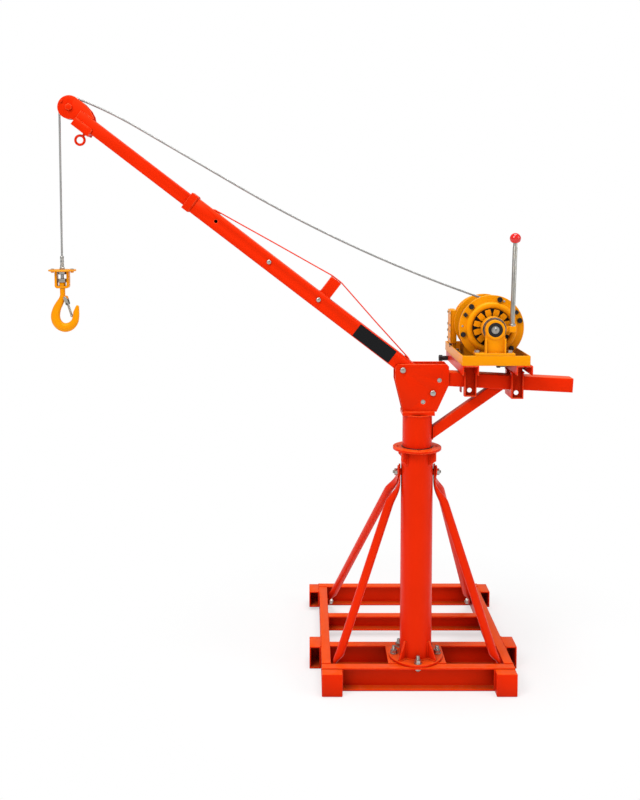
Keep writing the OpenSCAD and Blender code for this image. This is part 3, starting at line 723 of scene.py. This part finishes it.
# winch: motor, ribbed casting with a fan cowl
motor = {"shell": 85, "ribs": 30, "ribsAt": 153, "slots": 5, "slotFrom": 24, "slotPitch": 7, "slotWide": 3.4}
shell = motor["shell"]
bm = lathe([(0, -110), (shell - 0.8, -110), (shell, -111), (shell, -121), (84, -122), (82, -123), (82, -183),
            (shell - 0.8, -184), (shell, -185), (shell, -191), (84, -192), (80, -193), (79, -207), (74, -212),
            (66, -214), (58, -214), (57, -215), (0, -215)], hub, 96)
slab(roundBox(-60, 60, -106, -60, 3), -200, -118, hub, bm)
for k in range(motor["slots"]):
    r = motor["slotFrom"] + k * motor["slotPitch"]
    end = r + motor["slotWide"]
    lathe([(r, -213.6), (r, -215), (end, -215), (end, -213.6)], hub, 64, bm)
piece("motorBody", bm, "upper", "winch_paint", ["motor_body"], sharp=30)
t, given = newTree("ribRing", {"Ribs": 30, "Radius": 0.0825, "Rib Size": (0.005, 0.003, 0.06)})
ring = geo(t, "MeshCircle", {"Vertices": given["Ribs"], "Radius": given["Radius"]})
outward = put(t, "FunctionNodeAlignRotationToVector", {"Vector": geo(t, "InputPosition")}, axis="X", pivot_axis="Z")
ribTree = closeTree(t, given, geo(t, "InstanceOnPoints", {
    "Points": ring, "Instance": geo(t, "MeshCube", {"Size": given["Rib Size"]}), "Rotation": outward}))
ribs = runTree(ribTree, bpy.data.meshes.new("motorRibs"), "winch_paint", {"Ribs": motor["ribs"]})
ribs.transform(facing(winchAt, motor["ribsAt"]) @ fromMetres)
keepMesh("motorRibs", ribs, "upper", "winch_paint", smooth=False)

# winch: cable gland, bearing shaft end with its snap ring, seal
gland = lathe([(0, 0), (11, 0), (11, 7), (9.5, 8), (9.5, 14), (7, 17), (5, 18), (0, 18)],
              basis((131, 141, 1077), below), 24)
piece("cableGland", gland, "upper", "black_bolts")
bore = 12.3  # of the parts that stand round the shaft
snap = {"inner": 7.4, "wide": 2.6, "eyeWide": 4.2, "from": -70, "sweep": 320}
bm = lathe([(0, 102), (1.6, 102), (2.4, 101), (3.4, 103), (6.6, 103), (snap["inner"], 102.2), (snap["inner"], 98.6),
            (10, 98.4), (10.4, 97.8), (10.4, 96.4), (12, 96.2), (12, 30), (12, -110), (0, -110)], hub, 48)
turns = [snap["from"] + snap["sweep"] * k / 32 for k in range(33)]
outline = [polar(snap["inner"] + snap["eyeWide" if k in (0, 1, 31, 32) else "wide"], a) for k, a in enumerate(turns)]
outline += [polar(snap["inner"], a) for a in reversed(turns)]
slab(outline, 99.6, 100.6, hub, bm)
piece("winchShaft", bm, "upper", "zinc", ["winch_shaft"])
bm = lathe([(bore, 95.1), (bore, 97), (15, 97.4), (17.4, 96.6), (19, 97.4), (21.6, 97.4), (22.3, 96.8), (22.3, 95.1),
            (bore, 95.1)], hub, 48)
piece("bearingSeal", bm, "upper", "black_bolts")

# drum cover: rim, clutch ring and petals with slots between
cover = {"face": 33, "boltRing": 91, "petals": 12, "petalOuter": 58.6, "petalHigh": 44.2,
         "petalSide": ((27.0, 2.2), (45.0, 2.2), (57.2, 7.2))}  # radius, distance from the middle of the gap
bm = lathe([(bore, 27.2), (95, 27.2), (100.6, 27.2), (102, 28.6), (102, 31.8), (100.8, 33), (83, 33), (81, 33.6)]
           + arcPoints((70.2, 36), 9.8, 0, 181, 12, 9) + [(59.9, 34), (24, 34), (bore, 34)], hub, 128)
lathe([(bore, 34), (bore, 44), (13.4, 45), (22.6, 45), (23.6, 44), (23.6, 34)], hub, 64, bm)
piece("coverPlate", bm, "drum", "winch_paint", ["drum_cover"], sharp=40)
# painted shade: a black disc behind the petals darkens the gaps between them
bm = lathe([(23.6, 34), (23.6, 36.4), (60, 36.4), (60, 34)], hub, 64)
piece("coverBacking", bm, "drum", "black_bolts", finish=labelAndShadeBlack)
turnPart = math.pi / cover["petals"]
c, s = math.cos(turnPart), math.sin(turnPart)
outline = [(r * c + gap * s, r * s - gap * c) for r, gap in cover["petalSide"]]
rimEnd = math.degrees(math.atan2(outline[-1][1], outline[-1][0]))
outline += [polar(cover["petalOuter"], rimEnd - rimEnd * k / 2) for k in range(5)]
outline += [(x, -y) for x, y in reversed(outline[:3])]
bm = slab(outline, 36, cover["petalHigh"], toMetres)
rim = [e for e in bm.edges if all(v.co.z > (cover["petalHigh"] - 0.2) * mm for v in e.verts)]
bmesh.ops.bevel(bm, geom=rim, offset=0.8 * mm, segments=2, affect="EDGES")
bmesh.ops.recalc_face_normals(bm, faces=bm.faces)
petal = newObject("petal", meshFrom("petal", bm))
t, given = newTree("petalRing", {"Petal": None, "Petals": 12, "Start Turn": 0.0})
shape = geo(t, "ObjectInfo", {"Object": given["Petal"]}, "Geometry")
dots = geo(t, "Points", {"Count": given["Petals"]})
part = maths("DIVIDE", geo(t, "InputIndex"), given["Petals"])
turned = maths("ADD", times(part, 2 * math.pi), given["Start Turn"])
asTurn = put(t, "FunctionNodeEulerToRotation", {0: shader(t, "CombineXYZ", {"Z": turned})})
petalTree = closeTree(t, given, geo(t, "InstanceOnPoints", {"Points": dots, "Instance": shape, "Rotation": asTurn}))
petals = runTree(petalTree, bpy.data.meshes.new("clutchPetals"), "winch_paint", {
    "Petal": petal, "Petals": cover["petals"], "Start Turn": math.pi / 2 + turnPart})
petals.transform(hub @ fromMetres)
keepMesh("clutchPetals", petals, "drum", "winch_paint", smooth=False)
bpy.data.objects.remove(petal)


def onCover(*turns):
    # seats on the cover's bolt ring
    ring = [polar(cover["boltRing"], a) for a in turns]
    return [((winchAt.x + x, -cover["face"], winchAt.z + z), front) for x, z in ring]


fasten("coverBolts", [
    (dict(af=13, high=6, washer=8.2, washerHigh=1.2), onCover(*range(14, 374, 60))),
    (dict(af=11, high=6, sides=4), onCover(32, 154, 275))], "drum", "black_bolts", ["cover_bolts"])
fasten("coverScrews", [(dict(af=6, high=2.4, dome=True), onCover(65, 177, 299))], "drum", "zinc")

# rope on the drum
wraps = {"radius": 76.9, "from": -16.5, "to": 88.5, "pitch": 6.35, "points": 980}
turnsOn = (wraps["to"] - wraps["from"]) / wraps["pitch"]
helix = []
for k in range(wraps["points"] + 1):
    t = k * turnsOn / wraps["points"]
    x, z = polar(wraps["radius"], 360 * t)
    helix.append((winchAt.x + x, wraps["from"] + wraps["pitch"] * t, winchAt.z + z))
keepRope("ropeTurns", helix, "drum", ["rope_winding"], 5.5)

# clutch: lever parts
collar = lathe([(bore, 52.4), (37, 52.4), (38, 53.4), (38, 57), (35.5, 58.5), (35.5, 61.5), (38, 63), (38, 78.6),
                (36.6, 80), (30, 80), (28, 78.6), (18, 78.6), (bore, 78.6)], hub, 72)
piece("clutchCollar", collar, "clutch_lever", "zinc", finish=darkGrey)
lever = {"foot": (282.5, -70, 1157), "head": (288.2, -70, 1412.5), "rod": 7.1, "neck": 6.2, "ball": 17}
rod = Vector(lever["head"]) - Vector(lever["foot"])
bm = lathe([(0, -1), (10.5, -1), (10.5, 5), (9, 6.2), (7.2, 6.4), (lever["rod"], 7.5), (lever["rod"], rod.length - 14),
            (lever["neck"], rod.length - 12), (lever["neck"], rod.length), (0, rod.length)],
           basis(lever["foot"], rod), 40)
piece("clutchRod", bm, "clutch_lever", "zinc", ["clutch_rod"])
ball = [(0, -13.5), (8.6, -13.5), (10, -12.8), (10.6, -11.8)] + arcPoints((0, 0), lever["ball"], -40, 90, 5)
piece("clutchKnob", lathe(ball + [(0, lever["ball"])], basis((288.4, -70, 1426), rod), 64),
      "clutch_lever", "knob_red", ["clutch_knob"], sharp=50)
print("stage: winch done")

# boom: round truss rod, bolts, welds, blank label
boom = {"side": 25, "axis": 14, "bolts": (540, 345), "openHole": 748}  # bolts and hole by their way from the pivot
truss = {"radius": 2.0, "path": ((774, 39.4), (740, 44.4), (560, 71.0), (358, 99.6), (351, 99.9), (324, 99.9),
                                 (317, 99.3), (160, 68.0), (4, 39.6))}
rodPath = [onBoom(s, p) for s, p in truss["path"]]
sections = []
for i, p in enumerate(rodPath):
    d = (rodPath[min(i + 1, len(rodPath) - 1)] - rodPath[max(i - 1, 0)]).normalized()
    sections.append([v * mm for v in rodRing(p, Vector(back).cross(d), Vector(back), truss["radius"])])
piece("trussRod", loft(sections), "boom", "crane_paint", ["truss_rod"], sharp=60)
fasten("boomBolts", [
    (dict(af=14.4, high=5.6, dome=True, foot=48),
     [(onBoom(s, boom["axis"], -boom["side"]), front) for s in boom["bolts"]]),
    (dict(af=15, high=7, stud=5, studHigh=9),
     [(onBoom(s, boom["axis"], boom["side"]), back) for s in boom["bolts"]])], "boom", "zinc", ["boom_bolts"])


def boomLine(a, b, y, n=12):
    # weld path in one vertical plane, a and b as (along, square)
    return linePath(onBoom(*a, y), onBoom(*b, y), n)


boomWelds = [linePath(onBoom(s, p, -half), onBoom(s, p, half)) for s, p, half in (
    (318.6, 37.4, 17), (356.4, 37.4, 17), (835, 37.6, 24), (835, -13.4, 24))]
for y in (-1, 1):
    boomWelds += [boomLine((319, 37.4), (356, 37.4), y * 18.4), boomLine((834.6, -12), (834.6, 36), y * 25.6),
                  boomLine((778, 37.6), (752, 41), y * 2.6, 6), boomLine((0, 37.6), (18, 40), y * 2.6, 5)]
weld("boomWelds", boomWelds, "boom", 1.9)
label = {"from": 50.0, "to": 193.0, "low": -10.5, "high": 34.5, "lift": 0.05, "thick": 0.25}
under = boom["side"] + label["lift"]
bm = slab(roundBox(label["from"], label["to"], -label["high"], -label["low"], 3), under, under + label["thick"],
          basis(pivot, front, along))
piece("boomLabel", bm, "boom", "crane_paint", finish=labelAndShadeBlack, sharp=30)
# painted shade: a black disc inside the boom's open hole
bm = lathe([(0, -2.6), (5.4, -2.6), (5.4, 0), (6.4, 0.2), (6.4, 1.4), (5.6, 2), (0, 2)],
           basis(onBoom(boom["openHole"], boom["axis"], boom["side"]), back), 32)
piece("borePlug", bm, "boom", "black_bolts", finish=labelAndShadeBlack)

# boom tip: bolts, welds, eye ring, sheave
cheek, keeperAt = 17, onBoom(1353.5, 18.4)
fasten("tipBolts", [
    (dict(af=19, high=7.5, foot=30), [((sheaveAt.x, -cheek, sheaveAt.z), front)]),
    (dict(af=19, high=9.5, stud=6, studHigh=11.5, foot=12), [((sheaveAt.x, cheek, sheaveAt.z), back)]),
    (dict(af=9, high=4), [((keeperAt.x, y, keeperAt.z), d) for y, d in ((-cheek, front), (cheek, back))])],
    "boom_inner", "crane_paint", ["tip_bolts"])
eyeRing = {"along": 1239, "square": -44, "radius": 14.2, "rod": 4, "shankFrom": -31}
eyePlace = basis(onBoom(eyeRing["along"], eyeRing["square"]), front, along)
sections = []
for k in range(72):
    n = Vector((*polar(1, 5 * k), 0))
    sections.append([eyePlace @ v for v in rodRing(n * eyeRing["radius"], n, Vector(above), eyeRing["rod"])])
bm = loft(sections, loop=True)
lathe([(0, 0), (4, 0), (4, 7), (5.6, 9), (6, 11), (0, 11)],
      basis(onBoom(eyeRing["along"], eyeRing["shankFrom"]), square), 24, bm)
piece("eyeRing", bm, "boom_inner", "crane_paint", ["eye_ring"], sharp=60)
weld("tipWelds", [boomLine(a, b, y * half, n) for y in (-1, 1) for a, b, half, n in (
    ((1222.6, -19), (1222.6, 4), 22.4, 6), ((1224, 5.3), (1286, 5.3), 21, 14), ((1241, 33), (1283, 33), 17.3, 10))],
    "boom_inner", 1.9)
grooved = [(6.2, 7), (10, 7), (11, 6.4), (12, 5), (28, 4.6), (29.6, 5.6), (31, 6.9), (35, 7), (35.8, 6.2), (35.2, 5.2)]
grooved += arcPoints((ropeRadius, 0), 3.3, 90, 271, 15) + [(r, -h) for r, h in reversed(grooved)]
piece("sheaveWheel", lathe(grooved + grooved[:1], facing(sheaveAt), 80), "sheave", "zinc", ["sheave"])

# rope: run from drum to sheave in two halves, arc over the sheave, drop
run = {"leave": 20.8, "steep": 30.2, "arrive": 18.26,  # slopes below level: at the sheave, midway, at the drum
       "bend": 1326.0, "straight": 362.98, "drum": 77, "sideways": 12, "span": 1326}
leave, steep, arrive, bend = run["leave"], run["steep"], run["arrive"], run["bend"]


def arcAt(centre, r, slope):
    # point on the arc whose tangent falls by slope
    x, z = polar(r, 90 - slope)
    return centre + Vector((x, 0, z))


start = arcAt(sheaveAt, ropeRadius, leave)
bendCentre = arcAt(start, -bend, leave)
bendEnd = arcAt(bendCentre, bend, steep)
x, z = polar(run["straight"], -steep)
sagStart = bendEnd + Vector((x, 0, z))
sagR = (arcAt(winchAt, run["drum"], arrive).x - sagStart.x) / (polar(1, steep)[1] - polar(1, arrive)[1])
sagCentre = arcAt(sagStart, sagR, steep)
runPoints = [arcAt(bendCentre, bend, leave + (steep - leave) * k / 40) for k in range(41)]
runPoints += [bendEnd.lerp(sagStart, k / 40) for k in range(1, 41)]
runPoints += [arcAt(sagCentre, -sagR, steep + (arrive - steep) * k / 120) for k in range(1, 121)]
runPoints = [p + Vector((0, (p.x - start.x) * run["sideways"] / run["span"], 0)) for p in reversed(runPoints)]
lower = keepRope("ropeRunLower", runPoints[:101], None, ["rope_run"])
upperRope = keepRope("ropeRunUpper", runPoints[100:], None, ["rope_run"])
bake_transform(lower)
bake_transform(upperRope)
ferruleTop, ferruleFoot = 1368, 1327
drop = [Vector((x, 0, z)) for x, z in arcPoints((sheaveAt.x, sheaveAt.z), ropeRadius, 69, 180, 3)]
drop += [Vector((dropX, 0, sheaveAt.z + (ferruleTop - sheaveAt.z) * k / 60)) for k in range(61)]
keepRope("ropeDrop", drop, "hook_line", ["rope_drop"])
print("stage: ropes done")

# hook block
bm = lathe([(0, 0), (7.4, 0), (8, 0.8), (8, 6), (6.4, 7.4), (6, 8.4), (6, 15), (5.4, 16.5), (5.4, 18), (6, 19.5),
            (6, 27), (5.4, 28.5), (5.4, 30), (6, 31.5), (6, 40.5), (5, 42), (0, 42)],
           basis((dropX, 0, ferruleFoot), above), 36)
piece("ropeFerrule", bm, "hook_line", "zinc", ["ferrule"])
bm = lathe([(0, 1311.8), (11.6, 1311.8), (12.7, 1313), (12.7, 1320.8), (11.6, 1321.9), (0, 1321.9)], dropLine, 48)
piece("yokeNut", bm, "hook_line", "zinc")
fasten("yokeBolts", [
    (dict(af=9, high=high), [((dropX + x, 0, z), outward) for x in (-31, 31)])
    for high, z, outward in ((4.2, 1322, below), (3, 1327, above))], "hook_line", "zinc")
hookPath = [  # centre x, centre z, thickness in the hook's plane, thickness across it
    (0, 1272, 16.4, 16.4), (0, 1258, 16.4, 16.4), (0, 1246, 16.4, 16.4), (-2.5, 1234, 19, 17),
    (-10.5, 1219, 23, 18), (-19, 1202, 26, 19.5), (-23.8, 1180, 29, 21), (-19.6, 1161, 29.4, 21.5),
    (-7.5, 1147.8, 29, 21.5), (9.0, 1143.4, 28.6, 21.5), (25.5, 1149.2, 26.5, 20.5), (37.0, 1162.5, 23, 19),
    (41.0, 1178, 20.5, 17.5), (42.0, 1189, 20, 16.5), (43.4, 1197, 17, 15), (45.0, 1204.5, 13.2, 13.5),
    (46.3, 1210.5, 10.4, 11.5)]


def smoothPath(points, steps):
    # spline through every point
    out = []
    for i in range(len(points) - 1):
        p = [Vector(points[max(0, min(len(points) - 1, i + j))]) for j in (-1, 0, 1, 2)]
        for k in range(steps):
            t = k / steps
            out.append(0.5 * ((2 * p[1]) + (p[2] - p[0]) * t + (2 * p[0] - 5 * p[1] + 4 * p[2] - p[3]) * t * t
                              + (3 * p[1] - p[0] - 3 * p[2] + p[3]) * t ** 3))
    return out + [Vector(points[-1])]


track = smoothPath(hookPath, 5)
sections = []
for i, (x, z, deep, wide) in enumerate(track):
    a, b = track[max(i - 1, 0)], track[min(i + 1, len(track) - 1)]
    d = Vector((b[0] - a[0], 0, b[1] - a[1])).normalized()
    n = Vector((-d.z, 0, d.x))  # towards the bowl
    bulge = 0.12 * max(0.0, min(1.0, (deep - 17) / 8))  # the bowl's section is fuller on its inner side
    ring = []
    for k in range(28):
        c, s = polar(1, 360 * k / 28)
        across = Vector(back) * (wide / 2 * s * (1 + bulge * c))
        ring.append((Vector((dropX + x, 0, z)) + n * (deep / 2 * c) + across) * mm)
    sections.append(ring)
end = Vector((dropX + track[-1][0], 0, track[-1][1])) * mm
sections.append([end + Vector((0.4, 0, 3.2)) * mm + (p - end) * 0.6 for p in sections[-1]])  # blunt point
bm = loft(sections)
lathe([(0, 1270), (8.2, 1270), (8.2, 1276), (9.4, 1276), (10, 1276.6), (10, 1286.4), (9.4, 1287), (0, 1287)],
      dropLine, 48, bm)
hinge = Vector((dropX + 9.9, 0, 1237.8))
eye = facing(hinge)
lathe([(0, -8), (5.6, -8), (6.5, -7), (6.5, 7), (5.6, 8), (0, 8)], eye, 32, bm)
slab([(-9, -3), (0, -6), (0, 6), (-9, 9)], -6.5, 6.5, eye, bm)
piece("hookBody", bm, "hook", "winch_paint", ["hook"], sharp=42)
bm = lathe([(0, -12), (3.6, -12), (4.4, -11.4), (4.4, -11), (3, -11), (3, 11), (4.4, 11), (4.4, 11.4), (3.6, 12),
            (0, 12)], eye, 24)
lathe([(0, 1287), (13.4, 1287), (14, 1287.6), (14, 1291.6), (13.2, 1292.2), (13.2, 1293), (14, 1293.6), (14, 1297.4),
       (13.4, 1298), (5, 1298), (5, 1311), (0, 1311)], dropLine, 48, bm)
piece("latchPin", bm, "hook", "zinc")
latch = {"shut": 17.3, "rod": 3.7, "ball": 4.6, "ballAt": 53, "rodFrom": 7, "armThick": 2.5}
c, s = polar(1, latch["shut"])
latchDown = Vector((s, 0, -c))
bm = lathe([(0, 0), (latch["rod"], 0), (latch["rod"], 48)]
           + arcPoints((0, latch["ballAt"]), latch["ball"], -36, 90, 14) + [(0, latch["ballAt"] + latch["ball"])],
           basis(hinge + latchDown * latch["rodFrom"], latchDown), 32)
arms = basis(hinge, front, (c, 0, s))
for y in (-11, 8.5):
    slab(roundBox(-5, 5, -24, 5, 4.8), -y - latch["armThick"], -y, arms, bm)
slab(roundBox(-1.5, 1.5, -24, -16, 1), -11, 11, arms, bm)
piece("latchRod", bm, "latch", "zinc", ["latch"])
print("stage: hook done")

# floor, light, camera
white = (1, 1, 1, 1)
floor = {"size": 40.0, "at": (0, 0.3, -0.0006), "clearWithin": 0.45, "whiteBeyond": 1.0, "nearGlow": 0.6}  # metres
bm = bmesh.new()
bmesh.ops.create_grid(bm, x_segments=1, y_segments=1, size=floor["size"])
floorObj = newObject("floor", meshFrom("floor", bm))
floorObj.location = floor["at"]
floorWhite = bpy.data.materials.new("floorWhite")
floorWhite.use_nodes = True
t = floorWhite.node_tree
p = t.nodes["Principled BSDF"]
fill(p, {"Base Color": (0.97, 0.97, 0.97, 1), "Roughness": 0.9, "Specular IOR Level": 0.1})
place = shader(t, "TexCoord", take="Object")
far = shader(t, "VectorMath", {0: place}, "Value", operation="LENGTH")
fade = ramp(far, floor["clearWithin"], floor["whiteBeyond"], floor["nearGlow"], 1.0)
rays = shader(t, "LightPath").node.outputs
seen = maths("MAXIMUM", rays["Is Camera Ray"], rays["Is Glossy Ray"])
glow = shader(t, "Emission", {"Color": white, "Strength": 1.0})
mix = shader(t, "MixShader", {0: times(seen, fade), 1: p.outputs[0], 2: glow})
t.links.new(mix, t.nodes["Material Output"].inputs["Surface"])
floorObj.data.materials.append(floorWhite)

studio = {"light": 0.37, "seen": 1.0}  # strength on the object, strength behind it
world = bpy.data.worlds.new("studio")
world.use_nodes = True
bpy.context.scene.world = world
t = world.node_tree
plain = t.nodes["Background"]
fill(plain, {"Strength": studio["light"], "Color": white})
bright = shader(t, "Background", {"Color": white, "Strength": studio["seen"]})
ray = shader(t, "LightPath", take="Is Camera Ray")
mix = shader(t, "MixShader", {0: ray, 1: plain.outputs[0], 2: bright})
t.links.new(mix, t.nodes["World Output"].inputs["Surface"])

lamps = {  # place, aim and size in metres, watts
    "key": ((-2.4, -2.6, 4.2), (0, 0, 1.0), 2.4, 105.0), "side": ((3.0, -1.6, 2.4), (0, 0, 0.9), 1.8, 26.0),
    "top": ((0.2, -0.2, 4.4), (0, 0.1, 0.6), 2.4, 85.0)}
for name, (at, aim, size, power) in lamps.items():
    lamp = bpy.data.lights.new(name, "AREA")
    lamp.shape, lamp.size, lamp.energy = "DISK", size, power
    obj = newObject(name, lamp)
    obj.location = at
    obj.rotation_euler = (Vector(aim) - Vector(at)).to_track_quat("-Z", "Y").to_euler()

view = {"lens": 41.85, "shift": (0.015, -0.1475), "at": (-0.348, -2.926, 1.484), "dip": 0.067}  # dip in radians
lens = bpy.data.cameras.new("view")
lens.lens, lens.sensor_width, lens.sensor_fit = view["lens"], 36.0, "AUTO"
lens.shift_x, lens.shift_y = view["shift"]
lens.clip_start, lens.clip_end = 0.05, 100.0
viewer = newObject("view", lens)
viewer.location = view["at"]
viewer.rotation_euler = (math.pi / 2 - view["dip"], 0, 0)
bpy.context.scene.camera = viewer
bpy.context.scene.view_settings.view_transform = "Standard"
print("stage: stage set")
